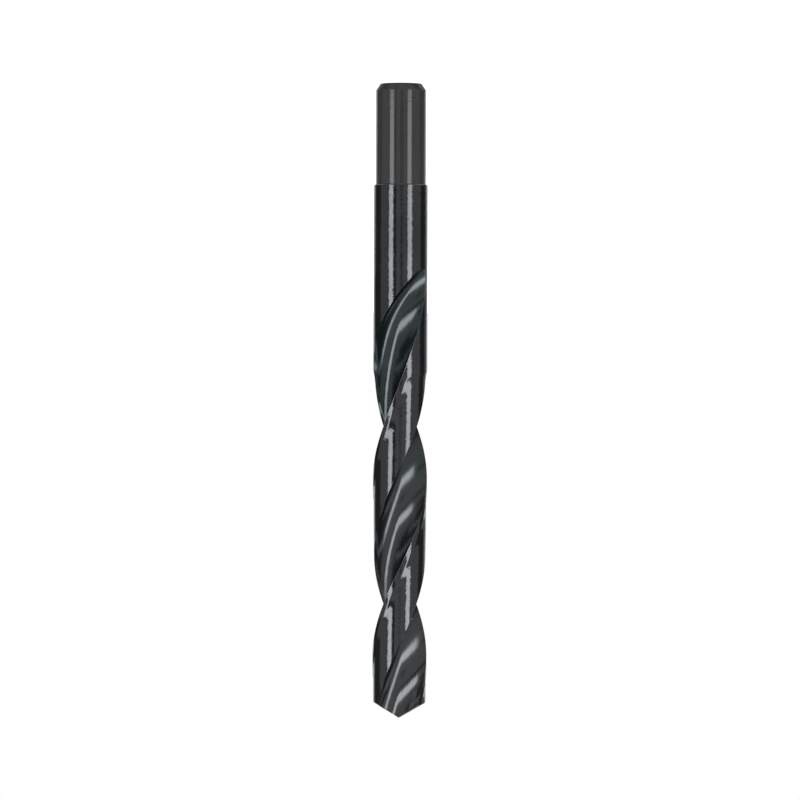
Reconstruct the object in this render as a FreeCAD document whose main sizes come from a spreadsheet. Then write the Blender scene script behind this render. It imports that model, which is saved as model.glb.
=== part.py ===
import FreeCAD, Part
import math
import os

import Sketcher
from FreeCAD import Placement, Rotation, Vector

# Two-flute twist drill, right hand, standing on its shank end with the point up.
# Origin: centre of the shank's end face. Millimetres and degrees.
doc = FreeCAD.newDocument("TwistDrill")
drill_axis = Vector(0, 0, 1)
flute_count = 2

# Driving dimensions
sheet = doc.addObject("Spreadsheet::Sheet", "Sizes")
driving_dimensions = (
    ("drill_diameter", 13.5, "over the margins"),
    ("overall_length", 158.7, "shank end to chisel edge"),
    ("shank_diameter", 12.7, "plain shank, held in the chuck"),
    ("shank_length", 25.3, "shank end to the shoulder of the body"),
    ("shoulder_break", 0.2, "chamfer round the shoulder"),
    ("end_chamfer_width", 1.15, "radial width of the chamfer at the shank end"),
    ("end_chamfer_height", 1.75, "axial height of the same chamfer"),
    ("end_round", 0.4, "rounding between the end face and that chamfer"),
    ("flute_lead", 88.6, "axial advance of a flute in one full turn"),
    ("flute_length", 113.0, "chisel edge to where a flute has left the body"),
    ("runout_length", 21.0, "axial length over which a flute rises out of the body"),
    ("runout_lean", 27.0, "slant of that rise towards the leading side"),
    ("lag_angle", 18.0, "turn by which a flute falls behind its helix as it runs out"),
    ("lag_start", 43.0, "where that begins, before the flute's end"),
    ("lag_length", 31.0, "axial length over which it builds up"),
    ("web_thickness", 2.2, "core between the flutes at the point"),
    ("web_growth", 0.5, "gain of the web's thickness over 100 mm"),
    ("heel_radius", 3.5, "hollow of the flute under the heel"),
    ("heel_hollow_angle", 85.0, "turn of that hollow from the web to the heel break"),
    ("heel_break_angle", 15.0, "turn from the end of the hollow to the heel break"),
    ("margin_width", 1.3, "guiding strip behind a leading edge, along the arc"),
    ("clearance_slope", 13.5, "slope of the flat that leads down from the margin"),
    ("land_radius", 6.25, "arc of the cleared land, which carries on smoothly from that flat"),
    ("clearance_length", 87.5, "chisel edge to where the clearance has left the body"),
    ("clearance_runout", 4.0, "axial length over which it leaves"),
    ("clearance_rise", 0.8, "how far its cutter moves outwards on that length"),
    ("point_angle", 125.0, "included angle of the lips"),
    ("relief_cone_angle", 35.0, "half angle of the cone that a flank is part of"),
    ("relief_cone_reach", 20.0, "apex of that cone to the drill axis, along the lip"),
    ("relief_cone_offset", 2.0, "axis of that cone ahead of the lip"),
    ("lip_azimuth", 40.5, "turn of the lips from the X axis"),
)
for row, (alias, value, note) in enumerate(driving_dimensions, start=1):
    sheet.set(f"A{row}", alias)
    sheet.set(f"B{row}", str(value))
    sheet.setAlias(f"B{row}", alias)
    sheet.set(f"C{row}", note)
doc.recompute()

# Sizes that follow from them
radius = sheet.drill_diameter / 2
half_web = sheet.web_thickness / 2
web_slope = sheet.web_growth / 2 / 100
turn_per_mm = 2 * math.pi / sheet.flute_lead
lip_reach = math.sqrt(radius**2 - half_web**2)
flute_end = sheet.overall_length - sheet.flute_length
clearance_end = sheet.overall_length - sheet.clearance_length

# Where the cutters run in the air, and how finely their screws are followed
air_radius = 1.6 * radius
rake_reach = 4 / 3 * radius
land_sweep = math.radians(70)
overrun = radius / 2
section_turn = math.radians(12)


def turned(point, angle):
    """Turn a point about the drill axis, counter-clockwise seen from the point."""
    return Rotation(drill_axis, math.degrees(angle)).multVec(point)


def polar(distance, azimuth):
    return turned(Vector(distance, 0, 0), azimuth)


# Blank, turned in one piece with shank and body
def turned_blank():
    body = doc.addObject("PartDesign::Body", "Blank")
    sketch = body.newObject("Sketcher::SketchObject", "BlankProfile")
    origin_planes = {plane.Role: plane for plane in body.Origin.OriginFeatures}
    sketch.AttachmentSupport = (origin_planes["XZ_Plane"], "")
    sketch.MapMode = "FlatFace"

    foot = "Sizes.shank_diameter / 2 - Sizes.end_chamfer_width"
    shank = "Sizes.shank_diameter / 2"
    shoulder = "Sizes.drill_diameter / 2 - Sizes.shoulder_break"
    land = "Sizes.drill_diameter / 2"
    outline = (
        ("0", "0"),
        (foot, "0"),
        (shank, "Sizes.end_chamfer_height"),
        (shank, "Sizes.shank_length"),
        (shoulder, "Sizes.shank_length"),
        (land, "Sizes.shank_length + Sizes.shoulder_break"),
        (land, "Sizes.overall_length"),
        ("0", "Sizes.overall_length"),
    )
    corners = [[float(sheet.evalExpression(size)) for size in corner] for corner in outline]
    count = len(corners)
    for index in range(count):
        start = Vector(*corners[index])
        end = Vector(*corners[(index + 1) % count])
        sketch.addGeometry(Part.LineSegment(start, end), False)
    for index in range(count):
        sketch.addConstraint(Sketcher.Constraint("Coincident", index, 2, (index + 1) % count, 1))
    for index, corner in enumerate(outline):
        for direction, axis_line, size, value in zip("XY", (-2, -1), corner, corners[index]):
            if size == "0":
                sketch.addConstraint(Sketcher.Constraint("PointOnObject", index, 1, axis_line))
                continue
            name = f"corner{index}{direction}"
            distance = Sketcher.Constraint(f"Distance{direction}", -1, 1, index, 1, value)
            sketch.renameConstraint(sketch.addConstraint(distance), name)
            sketch.setExpression(f"Constraints.{name}", size)
    doc.recompute()

    revolution = body.newObject("PartDesign::Revolution", "Turned")
    revolution.Profile = sketch
    revolution.ReferenceAxis = (sketch, ["V_Axis"])
    revolution.Angle = 360
    doc.recompute()

    foot_edges = [
        f"Edge{number}"
        for number, edge in enumerate(revolution.Shape.Edges, start=1)
        if isinstance(edge.Curve, Part.Circle) and edge.BoundBox.ZMax < 1e-6
    ]
    end_round = body.newObject("PartDesign::Fillet", "EndRound")
    end_round.Base = (revolution, foot_edges)
    end_round.setExpression("Radius", "Sizes.end_round")
    doc.recompute()
    return body


# Point: each flank is part of a cone whose apex stands off beyond the other lip
def cone_height(across, aside):
    """Height of the flank cone's surface under its apex, over a point given from that apex."""
    tilt = math.radians(sheet.point_angle / 2 - sheet.relief_cone_angle)
    spread = math.cos(math.radians(sheet.relief_cone_angle)) ** 2
    square = math.cos(tilt) ** 2 - spread
    linear = across * math.sin(tilt) * math.cos(tilt)
    constant = (across * math.sin(tilt)) ** 2 - spread * (across**2 + aside**2)
    return constant / (linear + math.sqrt(linear**2 - square * constant))


cone_back = sheet.relief_cone_reach * math.sin(math.radians(sheet.point_angle / 2))
cone_aside = half_web + sheet.relief_cone_offset
cone_apex_height = sheet.overall_length - cone_height(cone_back, -cone_aside)
lip_corner_height = cone_apex_height + cone_height(cone_back + lip_reach, -sheet.relief_cone_offset)
lip_drop = lip_reach / math.tan(math.radians(sheet.point_angle / 2))
lip_apex_height = lip_corner_height + lip_drop


# Flute section: two hollows that meet at the web, the first shaped so that the lip is straight
corner_azimuth = math.asin(half_web / radius) + lip_drop * turn_per_mm
corner_point = polar(radius, corner_azimuth)
corner_rise = corner_point.y - half_web
rake_radius = (corner_point.x**2 + corner_rise**2) / (2 * corner_rise)


def web_radius(height):
    return half_web + web_slope * (sheet.overall_length - height)


def runout(height, end, length):
    """Share of the climb out of the body, a parabola that reaches 1 at the end."""
    return max(0.0, 1 + (end - height) / length) ** 2


def screw_angle(height):
    """Turn of a section from the X axis, in degrees: the helix, less the lag near its end."""
    helix = math.degrees((height - lip_apex_height) * turn_per_mm)
    share = (flute_end + sheet.lag_start - height) / sheet.lag_length
    share = min(max(share, 0.0), 1.0)
    return sheet.lip_azimuth + helix + sheet.lag_angle * share**2 * (3 - 2 * share)


def flute_section(height):
    """Section across the drill; the bottom of a full flute is on the Y axis."""
    web = web_radius(height)
    rise = (radius - web) * runout(height, flute_end, sheet.runout_length)
    bottom = Vector(rise * math.tan(math.radians(sheet.runout_lean)), web + rise, 0)

    def hollow(centre_distance, angle):
        centre = bottom + Vector(0, centre_distance, 0)
        return centre + turned(bottom - centre, angle)

    rake_turn = math.asin(rake_reach / rake_radius)
    heel_turn = -math.radians(sheet.heel_hollow_angle)
    rake_end = hollow(rake_radius, rake_turn)
    heel_end = hollow(sheet.heel_radius, heel_turn)
    rake = Part.Arc(rake_end, hollow(rake_radius, rake_turn / 2), bottom)
    heel = Part.Arc(bottom, hollow(sheet.heel_radius, heel_turn / 2), heel_end)
    break_azimuth = math.pi + heel_turn + math.radians(sheet.heel_break_angle)
    break_end = heel_end + polar(radius, break_azimuth)
    top = bottom.y + air_radius
    corners = [heel_end, break_end, Vector(break_end.x, top, 0), Vector(rake_end.x, top, 0), rake_end]
    sides = [Part.LineSegment(start, end) for start, end in zip(corners, corners[1:])]
    return Part.Wire([curve.toShape() for curve in [rake, heel, *sides]])


def leading_azimuth(height):
    """Azimuth of the leading edge in the section at that height."""
    centre = web_radius(height) + rake_radius
    return math.asin((radius**2 + centre**2 - rake_radius**2) / (2 * centre * radius))


def clearance_section(height):
    """Section across the drill that takes the land down behind its margin."""
    slope = math.radians(sheet.clearance_slope)
    foot_azimuth = leading_azimuth(height) - sheet.margin_width / radius - slope
    rise = sheet.clearance_rise * runout(height, clearance_end, sheet.clearance_runout)
    reach = radius * math.cos(slope) + rise
    foot = polar(reach, foot_azimuth)
    flat_end = foot + polar(radius, foot_azimuth + math.pi / 2)
    centre = polar(reach - sheet.land_radius, foot_azimuth)
    back_azimuth = foot_azimuth - land_sweep
    middle_azimuth = foot_azimuth - land_sweep / 2
    back = centre + polar(sheet.land_radius, back_azimuth)
    back_middle = centre + polar(sheet.land_radius, middle_azimuth)
    land_arc = Part.Arc(foot, back_middle, back)
    outer = [polar(air_radius, azimuth) for azimuth in (back_azimuth, middle_azimuth, foot_azimuth)]
    corners = [back, *outer, flat_end, foot]
    sides = [Part.LineSegment(start, end) for start, end in zip(corners, corners[1:])]
    return Part.Wire([curve.toShape() for curve in [land_arc, *sides]])


def screw_cutter(name, section, bottom, flute):
    """Loft a section along the drill, from above the point down to a height."""
    top = sheet.overall_length + overrun
    steps = math.ceil((top - bottom) * turn_per_mm / section_turn)
    wires = []
    for step in range(steps + 1):
        height = top + (bottom - top) * step / steps
        wire = section(height)
        wire.Placement = Placement(Vector(0, 0, height), Rotation(drill_axis, screw_angle(height)))
        wires.append(wire)
    cutter = doc.addObject("Part::Feature", f"{name}{flute}")
    cutter.Shape = Part.makeLoft(wires, True)
    cutter.Placement = Placement(Vector(), Rotation(drill_axis, 360 * flute / flute_count))
    return cutter


def flank_cutter(flute):
    """What grinding takes off over one lip: a cylinder round the point, less the flank cone."""
    stock = doc.addObject("Part::Cylinder", f"PointStock{flute}")
    stock.setExpression("Radius", "0.8 * Sizes.drill_diameter")
    stock.setExpression("Height", "2 * Sizes.drill_diameter")
    stock.setExpression("Placement.Base.z", "Sizes.overall_length - 1.5 * Sizes.drill_diameter")
    cone = doc.addObject("Part::Cone", f"FlankCone{flute}")
    cone.Radius1 = 0
    cone.setExpression("Height", "Sizes.relief_cone_reach + 4 * Sizes.drill_diameter")
    cone.setExpression("Radius2", "Height * tan(Sizes.relief_cone_angle)")
    tilt = sheet.point_angle / 2 - sheet.relief_cone_angle
    turn = Rotation(drill_axis, sheet.lip_azimuth + 360 * flute / flute_count)
    lean = Rotation(Vector(0, 1, 0), 180 - tilt)
    apex = Vector(-cone_back, cone_aside, cone_apex_height)
    cone.Placement = Placement(turn.multVec(apex), turn * lean)
    return cut(f"Flank{flute}", stock, cone)


def cut(name, base, tool):
    result = doc.addObject("Part::Cut", name)
    result.Base = base
    result.Tool = tool
    return result


# Both cutters go on a little after they have left the body
piece = turned_blank()
flute_bottom = flute_end - sheet.runout_length / 8
clearance_bottom = clearance_end - sheet.clearance_runout / 4
for flute in range(flute_count):
    cutter = screw_cutter("FluteCutter", flute_section, flute_bottom, flute)
    piece = cut(f"Fluted{flute}", piece, cutter)
for flute in range(flute_count):
    cutter = screw_cutter("LandCutter", clearance_section, clearance_bottom, flute)
    piece = cut(f"Cleared{flute}", piece, cutter)
for flute in range(flute_count):
    piece = cut(f"Ground{flute}", piece, flank_cutter(flute))
piece.Label = "twist_drill"
doc.recompute()

# Check, then write
for item in doc.Objects:
    if {"Invalid", "Error"} & set(item.State):
        raise RuntimeError(f"{item.Label} failed: {item.State}")
if piece.Shape.isNull() or not piece.Shape.isValid() or len(piece.Shape.Solids) != 1:
    raise RuntimeError(f"{piece.Label} is not one valid solid")
os.makedirs("parts", exist_ok=True)
piece.Shape.exportStep(f"parts/{piece.Label}.step")
print(f"{piece.Label}: {piece.Shape.Volume:.0f} mm3, {len(piece.Shape.Faces)} faces")
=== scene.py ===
import math

import bmesh
import bpy
import numpy as np
from mathutils import Euler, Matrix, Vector
from mathutils.geometry import delaunay_2d_cdt


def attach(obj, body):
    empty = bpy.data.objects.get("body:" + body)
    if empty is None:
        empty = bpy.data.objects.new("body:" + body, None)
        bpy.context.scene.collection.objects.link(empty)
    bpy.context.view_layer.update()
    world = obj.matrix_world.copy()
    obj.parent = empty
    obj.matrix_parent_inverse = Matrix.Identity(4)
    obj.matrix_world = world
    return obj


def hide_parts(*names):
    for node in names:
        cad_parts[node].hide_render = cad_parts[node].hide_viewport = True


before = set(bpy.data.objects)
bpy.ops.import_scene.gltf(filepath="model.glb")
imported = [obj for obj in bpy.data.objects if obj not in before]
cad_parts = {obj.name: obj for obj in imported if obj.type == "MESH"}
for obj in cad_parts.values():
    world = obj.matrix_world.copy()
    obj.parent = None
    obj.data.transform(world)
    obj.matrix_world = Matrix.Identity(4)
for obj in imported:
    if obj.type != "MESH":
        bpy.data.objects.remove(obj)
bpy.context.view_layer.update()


print("scene: frame loaded")

# The drill's sizes in millimetres and degrees, as in the part's source
drill = {
    "radius": 6.75,
    "length": 158.7,
    "shankRadius": 6.35,
    "shankLength": 25.3,
    "shoulderBreak": 0.2,
    "endChamferWidth": 1.15,
    "endChamferHeight": 1.75,
    "endRound": 0.4,
    "lead": 88.6,
    "fluteLength": 113.0,
    "runoutLength": 21.0,
    "runoutLean": 27.0,
    "lagAngle": 18.0,
    "lagStart": 43.0,
    "lagLength": 31.0,
    "halfWeb": 1.1,
    "webSlope": 0.0025,
    "heelRadius": 3.5,
    "heelHollow": 85.0,
    "heelBreak": 15.0,
    "margin": 1.3,
    "clearanceSlope": 13.5,
    "landRadius": 6.25,
    "clearanceLength": 87.5,
    "clearanceRunout": 4.0,
    "clearanceRise": 0.8,
    "pointAngle": 125.0,
    "coneAngle": 35.0,
    "coneReach": 20.0,
    "coneOffset": 2.0,
    "lipAzimuth": 40.5,
}

# How finely the mesh follows it: columns across a half section, rings along the drill
mesh = {
    "landColumns": 22,
    "flatColumns": 7,
    "marginColumns": 5,
    "rakeColumns": 28,
    "hollowColumns": 24,
    "breakColumns": 5,
    "ringSpacing": 0.5,
    "runoutSpacing": 0.28,
    "pointRings": 16,
    "pointDrop": 0.4,
    "pointGrid": 0.3,
    "chiselSpacing": 0.12,
    "shankRings": 12,
    "bodyRings": 10,
    "endRoundRings": 7,
    "sharpAngle": 16.0,
}

millimetre = 0.001
radius = drill["radius"]
turnPerMm = 2 * math.pi / drill["lead"]
halfPoint = math.radians(drill["pointAngle"] / 2)
lipReach = math.sqrt(radius**2 - drill["halfWeb"] ** 2)
fluteEnd = drill["length"] - drill["fluteLength"]
clearanceEnd = drill["length"] - drill["clearanceLength"]


# Depth of a flank's cone under its apex, at a place given from that apex
def coneDepth(across, aside):
    tilt = halfPoint - math.radians(drill["coneAngle"])
    spread = math.cos(math.radians(drill["coneAngle"])) ** 2
    square = math.cos(tilt) ** 2 - spread
    linear = across * math.sin(tilt) * math.cos(tilt)
    constant = (across * math.sin(tilt)) ** 2 - spread * (across**2 + aside**2)
    return constant / (linear + np.sqrt(linear**2 - square * constant))


coneBack = drill["coneReach"] * math.sin(halfPoint)
coneAside = drill["halfWeb"] + drill["coneOffset"]
coneApex = drill["length"] - coneDepth(coneBack, -coneAside)
lipCorner = coneApex + coneDepth(coneBack + lipReach, -drill["coneOffset"])
lipDrop = lipReach / math.tan(halfPoint)
lipApex = lipCorner + lipDrop

cornerAzimuth = math.asin(drill["halfWeb"] / radius) + lipDrop * turnPerMm
cornerRise = radius * math.sin(cornerAzimuth) - drill["halfWeb"]
rakeRadius = ((radius * math.cos(cornerAzimuth)) ** 2 + cornerRise**2) / (2 * cornerRise)


# Height of the ground point over a place across the drill: the lower of the two cones
def pointHeight(x, y):
    turn = math.radians(drill["lipAzimuth"])
    along = x * math.cos(turn) + y * math.sin(turn)
    aside = y * math.cos(turn) - x * math.sin(turn)
    one = coneApex + coneDepth(coneBack + along, aside - coneAside)
    other = coneApex + coneDepth(coneBack - along, -aside - coneAside)
    return one, other


def screwTurn(height):
    share = np.clip((fluteEnd + drill["lagStart"] - height) / drill["lagLength"], 0, 1)
    lag = math.radians(drill["lagAngle"]) * share**2 * (3 - 2 * share)
    return math.radians(drill["lipAzimuth"]) + (height - lipApex) * turnPerMm + lag


def webRadius(height):
    return drill["halfWeb"] + drill["webSlope"] * (drill["length"] - height)


def climb(height, end, length):
    return np.maximum(0, 1 + (end - height) / length) ** 2


# Middle of the flute's section, which slides outwards where the flute runs out
def fluteBottom(height):
    web = webRadius(height)
    rise = (radius - web) * climb(height, fluteEnd, drill["runoutLength"])
    return rise * math.tan(math.radians(drill["runoutLean"])), web + rise


# The flute has left the body where its hollow no longer reaches the outside
def heelGap(height):
    x, y = fluteBottom(height)
    return math.hypot(x, y + drill["heelRadius"]) - drill["heelRadius"] - radius


def rootBetween(function, low, high):
    for _ in range(60):
        middle = (low + high) / 2
        if (function(low) > 0) == (function(middle) > 0):
            low = middle
        else:
            high = middle
    return (low + high) / 2


runoutTop = rootBetween(heelGap, fluteEnd - 5, fluteEnd + drill["runoutLength"])

# Columns of a half section, counter-clockwise: land, flat, margin, rake face, hollow, heel break
segments = ("land", "flat", "margin", "rake", "hollow", "break")
edgeShares = {
    "land": (0.012, 0.035),
    "margin": (0.85, 0.95),
    "rake": (0.006, 0.02),
    "break": (0.9, 0.96),
}
columns = []
for name in segments:
    count = mesh[name + "Columns"]
    shares = [index / count for index in range(count)]
    shares += list(edgeShares.get(name, ()))
    columns += [(name, share) for share in sorted(shares)]
columnNames = np.array([name for name, share in columns])
columnShares = np.array([share for name, share in columns])

# How sharp the columns at the edges are, and so how much wear and painted edge highlight they get
edgeColumns = {
    ("land", 0.0): 0.8,
    ("land", 0.012): 0.7,
    ("margin", 0.95): 0.9,
    ("rake", 0.0): 1.0,
    ("rake", 0.006): 0.9,
}
columnWearAndGlint = [edgeColumns.get(column, 0.0) for column in columns] * 2


# How near a column lies to the heel, where painted shade darkens the flute's hollow
def heelNearness(name, share):
    if name == "break":
        return 1.0
    return min(max((share - 0.55) / 0.45, 0.0), 1.0) if name == "hollow" else 0.0


columnShade = [heelNearness(name, share) for name, share in columns] * 2


# Places of the half section's columns, each at a height of its own, before the screw's turn
def halfSection(height):
    share = columnShares[:, None] + 0 * height

    # the flat behind the margin, and the land's arc that carries on from it
    wholeWeb = webRadius(height) + rakeRadius
    level = (radius**2 + wholeWeb**2 - rakeRadius**2) / (2 * wholeWeb * radius)
    slope = math.radians(drill["clearanceSlope"])
    foot = np.arcsin(level) - drill["margin"] / radius - slope
    cleared = height > clearanceEnd - drill["clearanceRunout"] / 4
    rise = drill["clearanceRise"] * climb(height, clearanceEnd, drill["clearanceRunout"])
    flatReach = radius * math.cos(slope) + np.where(cleared, rise, 0)
    arcOffset = flatReach - drill["landRadius"]

    def landReach(azimuth):
        aside = azimuth - foot
        onFlat = flatReach / np.cos(np.clip(aside, 0, 1))
        inside = np.maximum(drill["landRadius"] ** 2 - (arcOffset * np.sin(aside)) ** 2, 0)
        onArc = arcOffset * np.cos(aside) + np.sqrt(inside)
        return np.where(cleared, np.minimum(radius, np.where(aside > 0, onFlat, onArc)), radius)

    # leading edge, where the rake arc meets the outside
    x, y = fluteBottom(height)
    rakeY = y + rakeRadius
    reach = np.hypot(x, rakeY)
    lean = np.arctan2(x, rakeY)
    level = (reach**2 + rakeRadius**2 - radius**2) / (2 * rakeRadius * reach)
    rakeEnd = np.arccos(np.clip(level, -1, 1)) - lean
    hollowY = y + drill["heelRadius"]
    hollowReach = np.hypot(x, hollowY)
    hollowLean = np.arctan2(x, hollowY)

    def hollowCrossing(outside):
        level = hollowReach**2 + drill["heelRadius"] ** 2 - outside**2
        level = level / (2 * drill["heelRadius"] * hollowReach)
        return np.arccos(np.clip(level, -1, 1))

    open_ = hollowReach - drill["heelRadius"] < radius
    deep = np.hypot(x, y) < radius
    rakeEnd = np.where(deep, rakeEnd, 0)
    hollowStart = np.where(deep, 0, hollowLean - hollowCrossing(radius))
    hollowStart = np.where(open_, hollowStart, hollowLean)
    hollowLimit = math.radians(drill["heelHollow"])
    hollowEnd = np.where(open_, hollowLean + hollowCrossing(radius), hollowLean)
    hollowStop = np.minimum(hollowEnd, hollowLimit)
    hollowStart = np.minimum(hollowStart, hollowStop)

    def onRake(angle):
        return x + rakeRadius * np.sin(angle), rakeY - rakeRadius * np.cos(angle)

    def onHollow(angle):
        back, down = drill["heelRadius"] * np.sin(angle), drill["heelRadius"] * np.cos(angle)
        return x - back, hollowY - down

    # heel break, a straight run from the end of the hollow to the land
    breakX, breakY = onHollow(hollowStop)
    direction = math.pi - hollowLimit + math.radians(drill["heelBreak"])
    runX, runY = math.cos(direction), math.sin(direction)

    def runTo(centreX, centreY, reach):
        fromX, fromY = breakX - centreX, breakY - centreY
        middle = fromX * runX + fromY * runY
        return np.sqrt(np.maximum(0, middle**2 + reach**2 - fromX**2 - fromY**2)) - middle

    toLand = runTo(-arcOffset * np.cos(foot), -arcOffset * np.sin(foot), drill["landRadius"])
    toOutside = runTo(0, 0, radius)
    run = np.where(cleared, np.minimum(toOutside, toLand), toOutside)
    run = np.where(hollowEnd > hollowLimit, run, 0)
    run = np.maximum(run, 0)
    heelX, heelY = breakX + runX * run, breakY + runY * run
    heel = np.arctan2(heelY, heelX)

    # land, flat and margin behind the next leading edge
    startX, startY = onHollow(hollowStart)
    leadX, leadY = onRake(rakeEnd)
    lead = np.where(deep, np.arctan2(leadY, leadX), np.arctan2(startY, startX))

    def ring(azimuth, distance):
        return -distance * np.cos(azimuth), -distance * np.sin(azimuth)

    places = {}
    azimuth = heel - math.pi + share * (foot + math.pi - heel)
    places["land"] = ring(azimuth, landReach(azimuth))
    azimuth = foot + share * slope
    places["flat"] = ring(azimuth, landReach(azimuth))
    crest = foot + slope
    places["margin"] = ring(crest + share * (lead - crest), radius + 0 * share)
    sideX, sideY = onRake(rakeEnd * (1 - share))
    places["rake"] = (
        -np.where(deep, sideX, startX),
        -np.where(deep, sideY, startY),
    )
    sideX, sideY = onHollow(hollowStart + share * (hollowStop - hollowStart))
    places["hollow"] = (-sideX, -sideY)
    places["break"] = (-(breakX + runX * run * share), -(breakY + runY * run * share))

    across = np.zeros(share.shape)
    along = np.zeros(share.shape)
    for name in segments:
        chosen = columnNames == name
        across[chosen] = places[name][0][chosen]
        along[chosen] = places[name][1][chosen]
    return across, along


# Both halves of the section, turned by the screw: arrays of columns by rings
def sectionRings(height):
    across, along = halfSection(height)
    turn = screwTurn(height)
    x = across * np.cos(turn) - along * np.sin(turn)
    y = across * np.sin(turn) + along * np.cos(turn)
    return np.vstack([x, -x]), np.vstack([y, -y])


def halfHeights(heights):
    return np.repeat(heights[None, :], len(columns), axis=0)


# Top of each column, where it meets the ground point
low = np.full((len(columns), 1), drill["length"] - 9)
high = np.full((len(columns), 1), drill["length"] + 1.0)
for _ in range(50):
    middle = (low + high) / 2
    x, y = sectionRings(middle)
    one, other = pointHeight(x[: len(columns)], y[: len(columns)])
    under = np.minimum(one, other) > middle
    low = np.where(under, middle, low)
    high = np.where(under, high, middle)
columnTop = (low + high) / 2
pointStart = float(columnTop.min()) - mesh["pointDrop"]

# Rings from the run-out up, dense where the flute leaves the body and where the clearance ends
fluteBody = []
height = runoutTop
step = 0.02
rampMiddle = clearanceEnd + drill["clearanceRunout"] / 2
while height < pointStart - mesh["ringSpacing"] / 2:
    fluteBody.append(height)
    inRunout = height < fluteEnd + drill["runoutLength"]
    widest = mesh["runoutSpacing"] if inRunout else mesh["ringSpacing"]
    if abs(height - rampMiddle) < drill["clearanceRunout"] * 0.6:
        widest = 0.1
    step = min(step * 1.25, widest)
    height += step
fluteBody = np.array(fluteBody)
x, y = sectionRings(halfHeights(fluteBody))
z = np.vstack([halfHeights(fluteBody)] * 2)
shares = np.linspace(0, 1, mesh["pointRings"])[None, :]
pointHeights = pointStart + shares * (columnTop - pointStart)
pointX, pointY = sectionRings(pointHeights)
ringX = np.hstack([x, pointX])
ringY = np.hstack([y, pointY])
ringZ = np.hstack([z, np.vstack([pointHeights] * 2)])

# Plain rings below the flutes: body, shoulder, shank and its rounded chamfer
slope = math.atan2(drill["endChamferHeight"], drill["endChamferWidth"])
footRadius = drill["shankRadius"] - drill["endChamferWidth"]
footRun = drill["endRound"] * math.tan(slope / 2)
plain = []
for angle in np.linspace(0, slope, mesh["endRoundRings"]):
    across = footRadius - footRun + drill["endRound"] * math.sin(angle)
    plain.append((across, drill["endRound"] * (1 - math.cos(angle))))
shankTop = drill["shankLength"]
plain += [
    (drill["shankRadius"] - 0.03, drill["endChamferHeight"] - 0.04),
    (drill["shankRadius"], drill["endChamferHeight"] + 0.02),
]
shankHeights = np.linspace(drill["endChamferHeight"] + 0.55, shankTop - 0.05, mesh["shankRings"])
plain += [(drill["shankRadius"], height) for height in shankHeights]
plain += [
    (drill["shankRadius"] + 0.05, shankTop),
    (radius - drill["shoulderBreak"] - 0.02, shankTop),
    (radius - 0.02, shankTop + drill["shoulderBreak"] - 0.02),
    (radius, shankTop + drill["shoulderBreak"] + 0.02),
]
bodyHeights = np.linspace(shankTop + 0.9, runoutTop - 0.4, mesh["bodyRings"])
plain += [(radius, height) for height in bodyHeights]
azimuths = np.arctan2(ringY[:, :1], ringX[:, :1])
distances = np.array([distance for distance, height in plain])
heights = np.array([height for distance, height in plain])
ringX = np.hstack([np.cos(azimuths) * distances, ringX])
ringY = np.hstack([np.sin(azimuths) * distances, ringY])
ringZ = np.hstack([np.repeat(heights[None, :], len(azimuths), axis=0), ringZ])
columnCount, ringCount = ringX.shape
print("scene: section columns", columnCount, "rings", ringCount)

# Faces between the rings, with the material that each strip of the drill has
looks = ["shankBlack", "bodyBlack", "fluteBlack", "pointBlack"]
lookOf = {"land": 1, "flat": 1, "margin": 1, "rake": 2, "hollow": 2, "break": 2}
stripLook = [lookOf[name] for name in columnNames] * 2
places = np.stack([ringX, ringY, ringZ], axis=2).reshape(-1, 3) * millimetre
vertices = [tuple(place) for place in places]
shoulderRing = int(np.argmax(distances > drill["shankRadius"]))
faces = []
faceLooks = []
for column in range(columnCount):
    following = (column + 1) % columnCount
    for ring in range(ringCount - 1):
        corners = (
            column * ringCount + ring,
            following * ringCount + ring,
            following * ringCount + ring + 1,
            column * ringCount + ring + 1,
        )
        faces.append(corners)
        plainLook = 0 if ring < shoulderRing else 1
        faceLooks.append(plainLook if ring < len(plain) else stripLook[column])

# End face of the shank
centreIndex = len(vertices)
vertices.append((0.0, 0.0, 0.0))
for column in range(columnCount):
    following = (column + 1) % columnCount
    faces.append((following * ringCount, column * ringCount, centreIndex))
    faceLooks.append(0)

# Ground point: the top ring's outline filled with points on the two cones, with the chisel edge
outline = [Vector((ringX[column, -1], ringY[column, -1])) for column in range(columnCount)]
outlineIndex = [column * ringCount + ringCount - 1 for column in range(columnCount)]


def insideOutline(place, keepOff):
    inside = False
    for start, end in zip(outline, outline[1:] + outline[:1]):
        if (start.y > place.y) != (end.y > place.y):
            if place.x < start.x + (place.y - start.y) * (end.x - start.x) / (end.y - start.y):
                inside = not inside
        along = end - start
        if along.length > 1e-9:
            share = min(max((place - start).dot(along) / along.length_squared, 0), 1)
            if (start + along * share - place).length < keepOff:
                return False
    return inside


# Points of the chisel edge: where both cones are level, outwards from the axis
def chiselPlace(distance, guess):
    def difference(angle):
        one, other = pointHeight(distance * math.cos(angle), distance * math.sin(angle))
        return one - other

    angle = rootBetween(difference, guess - 0.7, guess + 0.7)
    return Vector((distance * math.cos(angle), distance * math.sin(angle))), angle


scan = [math.pi * index / 180 for index in range(180)]
levels = [pointHeight(0.3 * math.cos(angle), 0.3 * math.sin(angle)) for angle in scan]
firstLower = [one > other for one, other in levels]
changes = [index for index in range(179) if firstLower[index] != firstLower[index + 1]]
chiselAngle = scan[changes[0]]
chisel = []
distance = mesh["chiselSpacing"]
while True:
    place, chiselAngle = chiselPlace(distance, chiselAngle)
    if not insideOutline(place, 0.07):
        break
    chisel.append(place)
    distance += mesh["chiselSpacing"]
chiselLine = [-place for place in reversed(chisel)] + [Vector((0.0, 0.0))] + chisel

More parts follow.
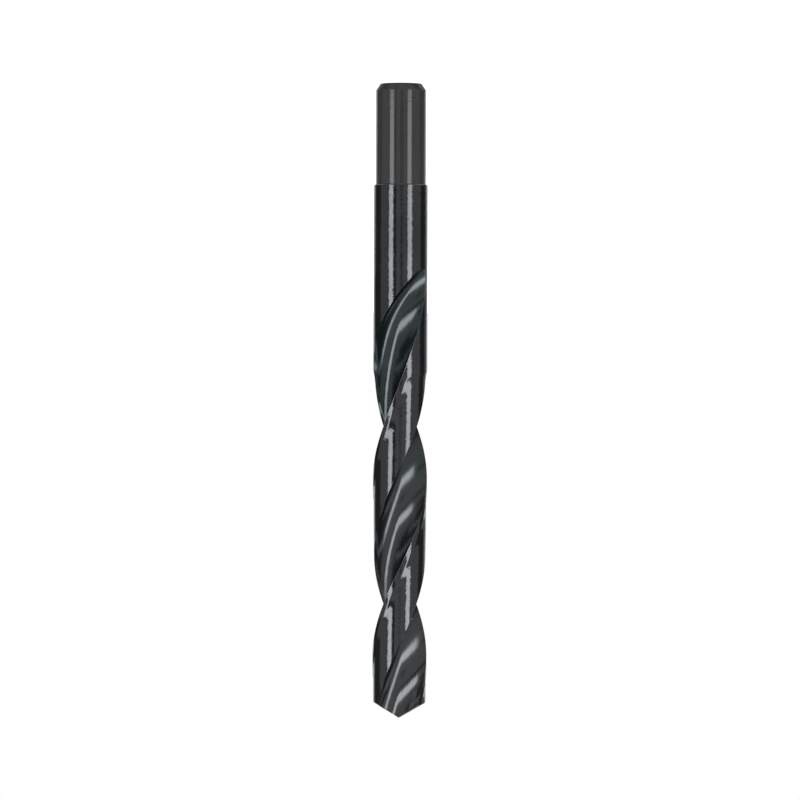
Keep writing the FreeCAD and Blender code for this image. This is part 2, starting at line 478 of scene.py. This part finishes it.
inner = []
grid = mesh["pointGrid"]
span = math.ceil(radius / grid) + 1
for row in range(-span, span + 1):
    for index in range(-span, span + 1):
        place = Vector(((index + 0.5 * (row % 2)) * grid, row * grid * math.sqrt(3) / 2))
        if place.length < radius and insideOutline(place, grid * 0.55):
            if min((place - other).length for other in chiselLine) > grid * 0.5:
                inner.append(place)

flat = outline + chiselLine + inner
edges = [(index, (index + 1) % columnCount) for index in range(columnCount)]
first = columnCount
edges += [(first + index, first + index + 1) for index in range(len(chiselLine) - 1)]
ends = (chiselLine[0], chiselLine[-1])
for end, place in zip((first, first + len(chiselLine) - 1), ends):
    nearest = min(range(columnCount), key=lambda index: (outline[index] - place).length)
    edges.append((end, nearest))
capPlaces, _, capFaces, sources, _, _ = delaunay_2d_cdt(flat, edges, [], 1, 1e-7)
capIndex = []
for place, source in zip(capPlaces, sources):
    fromOutline = [index for index in source if index < columnCount]
    if fromOutline:
        capIndex.append(outlineIndex[fromOutline[0]])
        continue
    capIndex.append(len(vertices))
    height = min(pointHeight(place.x, place.y))
    vertices.append((place.x * millimetre, place.y * millimetre, height * millimetre))
for corners in capFaces:
    middle = sum((capPlaces[index] for index in corners), Vector((0, 0))) / len(corners)
    if insideOutline(middle, 0):
        faces.append(tuple(capIndex[index] for index in corners))
        faceLooks.append(3)
print("scene: point filled with", len(capFaces), "faces")

# Wear and painted edge highlight at the leading edges, heels and the point's rim, and a painted
# highlight ring on the shoulder; painted shade along the heels
wearAndGlint = [0.0] * len(vertices)
shade = [0.0] * len(vertices)
for column in range(columnCount):
    for ring in range(ringCount):
        place = column * ringCount + ring
        # shoulder rings: a painted highlight ring for the shoulder break's reflection; point rim:
        # wear and painted edge highlight
        if ring in (shoulderRing + 1, shoulderRing + 2, ringCount - 1):
            wearAndGlint[place] = 1.0
        elif ring >= len(plain) + 2:
            wearAndGlint[place] = columnWearAndGlint[column]
        if ring >= len(plain):
            # painted shade along the heels, strongest in the middle turns of the flutes
            shadeStrength = np.interp(ringZ[column, ring], (58, 83, 115, 140), (0.0, 1.0, 1.0, 0.25))
            shade[place] = columnShade[column] * float(shadeStrength)

body = bpy.data.meshes.new("twistDrillMesh")
body.from_pydata(vertices, [], faces)
body.polygons.foreach_set("material_index", faceLooks)
body.attributes.new("sharpness", "FLOAT", "POINT").data.foreach_set("value", wearAndGlint)
body.attributes.new("heelShade", "FLOAT", "POINT").data.foreach_set("value", shade)
shaped = bmesh.new()
shaped.from_mesh(body)
bmesh.ops.remove_doubles(shaped, verts=shaped.verts, dist=2e-7)
bmesh.ops.dissolve_degenerate(shaped, dist=1e-8, edges=shaped.edges)
bmesh.ops.recalc_face_normals(shaped, faces=shaped.faces)
openEdges = sum(1 for edge in shaped.edges if len(edge.link_faces) != 2)
for face in shaped.faces:
    face.smooth = True
for edge in shaped.edges:
    edge.smooth = edge.calc_face_angle(0) < math.radians(mesh["sharpAngle"])
shaped.to_mesh(body)
shaped.free()
drillPiece = bpy.data.objects.new("twistDrill", body)
bpy.context.scene.collection.objects.link(drillPiece)
print("scene: drill mesh", len(body.polygons), "faces,", openEdges, "open edges")


# A material with its Principled shader, as yet plain
def newMaterial(name):
    material = bpy.data.materials.new(name)
    material.use_nodes = True
    return material, material.node_tree, material.node_tree.nodes["Principled BSDF"]


def newGroup(name, inputs, outputs):
    group = bpy.data.node_groups.new(name, "ShaderNodeTree")
    for title, value in inputs.items():
        socket = group.interface.new_socket(
            name=title, in_out="INPUT", socket_type="NodeSocketFloat"
        )
        socket.default_value = value
    for title in outputs:
        group.interface.new_socket(
            name=title, in_out="OUTPUT", socket_type="NodeSocketFloat"
        )
    return group, group.nodes.new("NodeGroupInput"), group.nodes.new("NodeGroupOutput")


def addMath(tree, operation, first, second=0.0, third=0.0):
    node = tree.nodes.new("ShaderNodeMath")
    node.operation = operation
    for socket, value in zip(node.inputs, (first, second, third)):
        if isinstance(value, (int, float)):
            socket.default_value = value
        else:
            tree.links.new(value, socket)
    return node.outputs[0]


def addNoise(tree, vector, scale, detail, roughness):
    noise = tree.nodes.new("ShaderNodeTexNoise")
    noise.inputs["Detail"].default_value = detail
    noise.inputs["Roughness"].default_value = roughness
    if isinstance(scale, (int, float)):
        noise.inputs["Scale"].default_value = scale
    else:
        tree.links.new(scale, noise.inputs["Scale"])
    tree.links.new(vector, noise.inputs["Vector"])
    return noise.outputs["Fac"]


def addRange(tree, value, low, high):
    ranged = tree.nodes.new("ShaderNodeMapRange")
    ranged.interpolation_type = "SMOOTHSTEP"
    tree.links.new(value, ranged.inputs["Value"])
    for title, limit in (("From Min", low), ("From Max", high)):
        if isinstance(limit, (int, float)):
            ranged.inputs[title].default_value = limit
        else:
            tree.links.new(limit, ranged.inputs[title])
    return ranged.outputs["Result"]


# Grinding marks: long one way, fine the other, and wound with the flutes where Twist says so
def buildGrindingMarks():
    inputs = {"Around": 600, "Along": 2500, "Twist": 0}
    group, given, made = newGroup("grindingMarks", inputs, ["Height", "Fine"])
    place = group.nodes.new("ShaderNodeTexCoord").outputs["Object"]
    split = group.nodes.new("ShaderNodeSeparateXYZ")
    group.links.new(place, split.inputs[0])
    wound = group.nodes.new("ShaderNodeVectorRotate")
    wound.rotation_type = "Z_AXIS"
    group.links.new(place, wound.inputs["Vector"])
    angle = addMath(group, "MULTIPLY", split.outputs["Z"], given.outputs["Twist"])
    group.links.new(angle, wound.inputs["Angle"])
    scale = group.nodes.new("ShaderNodeCombineXYZ")
    group.links.new(given.outputs["Around"], scale.inputs["X"])
    group.links.new(given.outputs["Around"], scale.inputs["Y"])
    group.links.new(given.outputs["Along"], scale.inputs["Z"])
    stretched = group.nodes.new("ShaderNodeVectorMath")
    stretched.operation = "MULTIPLY"
    group.links.new(wound.outputs["Vector"], stretched.inputs[0])
    group.links.new(scale.outputs["Vector"], stretched.inputs[1])
    for title, scale, detail, rough in (("Height", 1, 1, 0.5), ("Fine", 3.1, 3, 0.6)):
        noise = addNoise(group, stretched.outputs["Vector"], scale, detail, rough)
        group.links.new(noise, made.inputs[title])
    return group


# Oxide colour: soft clouds, and the way from the flutes' end to the point
def buildOxideClouds():
    inputs = {"Scale": 120, "Contrast": 0.5}
    group, given, made = newGroup("oxideClouds", inputs, ["Clouds", "Towards point"])
    place = group.nodes.new("ShaderNodeTexCoord").outputs["Object"]
    clouds = addNoise(group, place, given.outputs["Scale"], 4, 0.55)
    half = addMath(group, "MULTIPLY", given.outputs["Contrast"], 0.25)
    low = addMath(group, "SUBTRACT", 0.5, half)
    high = addMath(group, "ADD", 0.5, half)
    group.links.new(addRange(group, clouds, low, high), made.inputs["Clouds"])
    split = group.nodes.new("ShaderNodeSeparateXYZ")
    group.links.new(place, split.inputs[0])
    drift = addMath(group, "MULTIPLY_ADD", clouds, 0.05, split.outputs["Z"])
    group.links.new(addRange(group, drift, 0.07, 0.165), made.inputs["Towards point"])
    return group


# Pits and specks: round spots in a few of many cells
def buildSpecks():
    inputs = {"Scale": 900, "Share": 0.05, "Size": 0.25}
    group, given, made = newGroup("specks", inputs, ["Mask"])
    place = group.nodes.new("ShaderNodeTexCoord").outputs["Object"]
    cells = group.nodes.new("ShaderNodeTexVoronoi")
    group.links.new(place, cells.inputs["Vector"])
    group.links.new(given.outputs["Scale"], cells.inputs["Scale"])
    spot = addMath(group, "LESS_THAN", cells.outputs["Distance"], given.outputs["Size"])
    split = group.nodes.new("ShaderNodeSeparateColor")
    group.links.new(cells.outputs["Color"], split.inputs[0])
    chosen = addMath(group, "LESS_THAN", split.outputs[0], given.outputs["Share"])
    group.links.new(addMath(group, "MULTIPLY", spot, chosen), made.inputs["Mask"])
    return group


# Edge wear and painted edge highlight: the mesh's sharp places lightened, broken up by noise
def buildEdgeWearAndGlint():
    group, given, made = newGroup("edgeWearAndGlint", {"Scale": 700, "Amount": 0.5}, ["Mask"])
    sharp = group.nodes.new("ShaderNodeAttribute")
    sharp.attribute_name = "sharpness"
    place = group.nodes.new("ShaderNodeTexCoord").outputs["Object"]
    broken = addNoise(group, place, given.outputs["Scale"], 4, 0.65)
    level = addMath(group, "SUBTRACT", 1.15, given.outputs["Amount"])
    reach = addMath(group, "ADD", sharp.outputs["Fac"], addMath(group, "SUBTRACT", broken, 0.5))
    limit = addMath(group, "ADD", level, 0.25)
    wornAndGlint = addRange(group, reach, level, limit)
    wornAndGlint = addMath(group, "MULTIPLY", wornAndGlint, sharp.outputs["Fac"])
    group.links.new(wornAndGlint, made.inputs["Mask"])
    return group


# Painted shade under the heel: darkens the flute's hollow next to the heel, where the heel shades
# it
def buildHeelPaintedShade():
    group, given, made = newGroup("heelPaintedShade", {"Amount": 0.5}, ["Mask"])
    near = group.nodes.new("ShaderNodeAttribute")
    near.attribute_name = "heelShade"
    place = group.nodes.new("ShaderNodeTexCoord").outputs["Object"]
    uneven = addMath(group, "MULTIPLY_ADD", addNoise(group, place, 260, 3, 0.6), 0.4, 0.8)
    mask = addMath(group, "MULTIPLY", near.outputs["Fac"], uneven)
    group.links.new(addMath(group, "MULTIPLY", mask, given.outputs["Amount"]), made.inputs["Mask"])
    return group


grindingMarks = buildGrindingMarks()
oxideClouds = buildOxideClouds()
specks = buildSpecks()
edgeWearAndGlint = buildEdgeWearAndGlint()
heelPaintedShade = buildHeelPaintedShade()

# Finish of each ground or rolled surface; marks in turns per metre, depths in metres
screwPerMetre = -turnPerMm * 1000
finish = {
    "shankBlack": {
        "dark": (0.021, 0.022, 0.023),
        "tint": (0.025, 0.025, 0.026),
        "pointTint": (0.03, 0.03, 0.03),
        "metallic": 0.0,
        "ior": 2.0,
        "edgeTint": 1.0,
        "roughness": 0.11,
        "unevenness": 0.02,
        "marks": (500, 1300, 0.0),
        "markDepth": 0.00002,
        "fineDepth": 0.02,
        "cloudScale": 90,
        "heelPaintedShade": 0.0,
        "wearAndGlint": 0.35,
        "dust": 0.008,
    },
    "bodyBlack": {
        "dark": (0.186, 0.206, 0.222),
        "tint": (0.234, 0.24, 0.25),
        "pointTint": (0.236, 0.252, 0.264),
        "metallic": 1.0,
        "ior": 1.5,
        "edgeTint": 0.6,
        "roughness": 0.03,
        "unevenness": 0.03,
        "marks": (1300, 3500, 0.0),
        "markDepth": 0.000038,
        "fineDepth": 0.02,
        "cloudScale": 75,
        "heelPaintedShade": 0.0,
        "wearAndGlint": 0.55,
        "dust": 0.012,
    },
    "fluteBlack": {
        "dark": (0.155, 0.19, 0.195),
        "tint": (0.195, 0.23, 0.235),
        "pointTint": (0.25, 0.26, 0.27),
        "metallic": 1.0,
        "ior": 1.5,
        "edgeTint": 0.6,
        "roughness": 0.14,
        "unevenness": 0.08,
        "marks": (1500, 150, screwPerMetre),
        "markDepth": 0.000012,
        "fineDepth": 0.1,
        "cloudScale": 80,
        # painted shade under the heels, on the flutes only
        "heelPaintedShade": 0.5,
        "wearAndGlint": 0.4,
        "dust": 0.012,
    },
    "pointBlack": {
        "dark": (0.2, 0.205, 0.21),
        "tint": (0.25, 0.25, 0.25),
        "pointTint": (0.255, 0.26, 0.265),
        "metallic": 1.0,
        "ior": 1.5,
        "edgeTint": 0.6,
        "roughness": 0.22,
        "unevenness": 0.08,
        "marks": (1500, 1500, 0.0),
        "markDepth": 0.00003,
        "fineDepth": 0.1,
        "cloudScale": 150,
        "heelPaintedShade": 0.0,
        "wearAndGlint": 0.6,
        "dust": 0.0,
    },
}
# light worn steel, which also stands in for the highlight that rounded edges catch
wornSteelAndGlint = (0.6, 0.6, 0.6, 1)
pitBlack = (0.02, 0.02, 0.02, 1)
# colour of the painted shade under the heels
paintedShadeBlack = (0.02, 0.03, 0.035, 1)
dustWhite = (0.6, 0.6, 0.6, 1)


def placeGroup(tree, group, values):
    node = tree.nodes.new("ShaderNodeGroup")
    node.node_tree = group
    for title, value in values.items():
        node.inputs[title].default_value = value
    return node


def addMix(tree, share, first, second):
    mix = tree.nodes.new("ShaderNodeMix")
    mix.data_type = "RGBA"
    tree.links.new(share, mix.inputs["Factor"])
    for socket, value in ((mix.inputs[6], first), (mix.inputs[7], second)):
        if isinstance(value, tuple):
            socket.default_value = value
        else:
            tree.links.new(value, socket)
    return mix.outputs[2]


def makeBlack(name):
    values = finish[name]
    material, tree, shader = newMaterial(name)
    shader.inputs["IOR"].default_value = values["ior"]
    shader.inputs["Specular Tint"].default_value = (values["edgeTint"],) * 3 + (1,)
    clouds = placeGroup(tree, oxideClouds, {"Scale": values["cloudScale"], "Contrast": 0.6})
    around, along, twist = values["marks"]
    marks = placeGroup(tree, grindingMarks, {"Around": around, "Along": along, "Twist": twist})
    pits = placeGroup(tree, specks, {"Scale": 1100, "Share": 0.035, "Size": 0.2})
    dust = placeGroup(tree, specks, {"Scale": 620, "Share": values["dust"], "Size": 0.1})
    wornAndGlint = placeGroup(tree, edgeWearAndGlint, {"Scale": 900, "Amount": values["wearAndGlint"]})
    heel = placeGroup(tree, heelPaintedShade, {"Amount": values["heelPaintedShade"]})

    color = addMix(tree, clouds.outputs["Clouds"], (*values["dark"], 1), (*values["tint"], 1))
    color = addMix(tree, clouds.outputs["Towards point"], color, (*values["pointTint"], 1))
    # painted shade in the hollow under the heel
    color = addMix(tree, heel.outputs["Mask"], color, paintedShadeBlack)
    color = addMix(tree, pits.outputs["Mask"], color, pitBlack)
    # worn edges, lightened also as a painted edge highlight
    color = addMix(tree, wornAndGlint.outputs["Mask"], color, wornSteelAndGlint)
    color = addMix(tree, dust.outputs["Mask"], color, dustWhite)
    tree.links.new(color, shader.inputs["Base Color"])

    uneven = addMath(tree, "SUBTRACT", marks.outputs["Fine"], 0.5)
    uneven = addMath(tree, "ADD", uneven, clouds.outputs["Clouds"])
    rough = addMath(tree, "MULTIPLY_ADD", uneven, values["unevenness"], values["roughness"])
    rough = addMath(tree, "MULTIPLY_ADD", wornAndGlint.outputs["Mask"], 0.25, rough)
    tree.links.new(rough, shader.inputs["Roughness"])
    metal = addMath(tree, "MAXIMUM", wornAndGlint.outputs["Mask"], values["metallic"])
    metal = addMath(tree, "SUBTRACT", metal, dust.outputs["Mask"])
    tree.links.new(metal, shader.inputs["Metallic"])

    height = marks.outputs["Height"]
    height = addMath(tree, "MULTIPLY_ADD", marks.outputs["Fine"], values["fineDepth"], height)
    height = addMath(tree, "MULTIPLY_ADD", pits.outputs["Mask"], -0.5, height)
    bump = tree.nodes.new("ShaderNodeBump")
    bump.inputs["Strength"].default_value = 1
    bump.inputs["Distance"].default_value = values["markDepth"]
    tree.links.new(height, bump.inputs["Height"])
    tree.links.new(bump.outputs["Normal"], shader.inputs["Normal"])
    return material


for name in looks:
    body.materials.append(makeBlack(name))

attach(drillPiece, "root")
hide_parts("twist_drill")
print("scene: materials on")

# Studio: pale floor, four tall strip lights, a room that is grey in reflections and else white;
# angles in degrees from the camera's side, powers in watts, room tones by angle
studio = {
    "stripDistance": 0.27,
    "stripWidth": 0.09,
    "stripHeight": 0.35,
    "stripMiddle": 0.155,
    "strips": ((-41.6, 0.133), (38.9, 0.133), (-156.0, 0.1), (156.0, 0.1)),
    "roomTones": (
        (-180, 0.28),
        (-132, 0.28),
        (-124, 0.05),
        (-95, 0.05),
        (-92, 0.18),
        (-36, 0.18),
        (-33, 0.08),
        (-28, 0.08),
        (-25, 0.2),
        (3, 0.19),
        (18, 0.21),
        (21, 0.06),
        (28, 0.06),
        (30, 0.18),
        (46, 0.18),
        (48, 0.05),
        (54, 0.05),
        (57, 0.18),
        (93, 0.17),
        (96, 0.05),
        (132, 0.05),
        (140, 0.28),
        (180, 0.28),
    ),
    "standAngle": -3.8,
    "standWidth": 8.0,
    "standDarkness": 0.82,
}


def buildFloor():
    material, tree, shader = newMaterial("paleFloor")
    shader.inputs["Base Color"].default_value = (0.9, 0.9, 0.9, 1)
    shader.inputs["Roughness"].default_value = 0.9
    shader.inputs["Specular IOR Level"].default_value = 0
    shader.inputs["Emission Color"].default_value = (1, 1, 1, 1)
    shader.inputs["Emission Strength"].default_value = 0.65
    bpy.ops.mesh.primitive_circle_add(vertices=96, radius=3.0, fill_type="NGON")
    floor = bpy.context.object
    floor.name = "floor"
    floor.data.materials.append(material)
    floor.visible_glossy = False


# Room tones run around the drill; a dark stand stands low in front of it
def buildRoom():
    world = bpy.data.worlds.new("studioRoom")
    bpy.context.scene.world = world
    world.use_nodes = True
    tree = world.node_tree
    nodes, links = tree.nodes, tree.links
    nodes.clear()
    output = nodes.new("ShaderNodeOutputWorld")
    room = nodes.new("ShaderNodeBackground")
    white = nodes.new("ShaderNodeBackground")
    white.inputs["Color"].default_value = (1, 1, 1, 1)
    mix = nodes.new("ShaderNodeMixShader")
    path = nodes.new("ShaderNodeLightPath")
    split = nodes.new("ShaderNodeSeparateXYZ")
    links.new(nodes.new("ShaderNodeTexCoord").outputs["Generated"], split.inputs[0])
    forward = addMath(tree, "MULTIPLY", split.outputs["Y"], -1)
    azimuth = addMath(tree, "ARCTAN2", split.outputs["X"], forward)
    ramp = nodes.new("ShaderNodeValToRGB")
    links.new(addMath(tree, "MULTIPLY_ADD", azimuth, 0.5 / math.pi, 0.5), ramp.inputs["Fac"])
    elements = ramp.color_ramp.elements
    for number, (angle, tone) in enumerate(studio["roomTones"]):
        inner = 0 < number < len(studio["roomTones"]) - 1
        ending = elements[0 if number == 0 else -1]
        element = elements.new(angle / 360 + 0.5) if inner else ending
        element.color = (tone, tone, tone, 1)
    links.new(ramp.outputs["Color"], room.inputs["Color"])

    aside = addMath(tree, "ADD", azimuth, -math.radians(studio["standAngle"]))
    width = math.radians(studio["standWidth"])
    narrow = addRange(tree, addMath(tree, "ABSOLUTE", aside), width, width / 2)
    top = addRange(tree, split.outputs["Z"], 0.006, -0.006)
    foot = addRange(tree, split.outputs["Z"], -0.15, -0.07)
    stand = addMath(tree, "MULTIPLY", narrow, addMath(tree, "MULTIPLY", top, foot))
    stand = addMath(tree, "MULTIPLY_ADD", stand, -studio["standDarkness"], 1.0)
    links.new(stand, room.inputs["Strength"])
    links.new(path.outputs["Is Glossy Ray"], mix.inputs["Fac"])
    links.new(white.outputs[0], mix.inputs[1])
    links.new(room.outputs[0], mix.inputs[2])
    links.new(mix.outputs[0], output.inputs["Surface"])


def buildStrips():
    for number, (angle, power) in enumerate(studio["strips"]):
        light = bpy.data.lights.new(f"stripLight{number}", "AREA")
        light.shape = "RECTANGLE"
        light.size = studio["stripWidth"]
        light.size_y = studio["stripHeight"]
        light.energy = power
        strip = bpy.data.objects.new(f"stripLight{number}", light)
        turn = math.radians(angle)
        away = -studio["stripDistance"]
        strip.location = (away * math.sin(turn), away * math.cos(turn), studio["stripMiddle"])
        strip.visible_camera = False
        strip.rotation_euler = Euler((math.radians(90), 0, -turn))
        bpy.context.scene.collection.objects.link(strip)


# Camera level with the drill's middle and turned over, so that the point hangs down
camera = {
    "distance": 1.1348,
    "height": 0.07917,
    "aside": 0.00005,
    "lens": 203.85,
    "roll": 180.177,
}
lens = bpy.data.cameras.new("camera")
lens.lens = camera["lens"]
lens.sensor_width = 36
lens.clip_start = 0.01
viewer = bpy.data.objects.new("camera", lens)
viewer.location = (camera["aside"], -camera["distance"], camera["height"])
viewer.rotation_mode = "QUATERNION"
level = Euler((math.radians(90), 0, 0)).to_quaternion()
roll = Euler((0, 0, math.radians(camera["roll"]))).to_quaternion()
viewer.rotation_quaternion = level @ roll
bpy.context.scene.collection.objects.link(viewer)
bpy.context.scene.camera = viewer

bpy.context.scene.view_settings.view_transform = "Standard"
buildFloor()
buildRoom()
buildStrips()
print("scene: studio set")
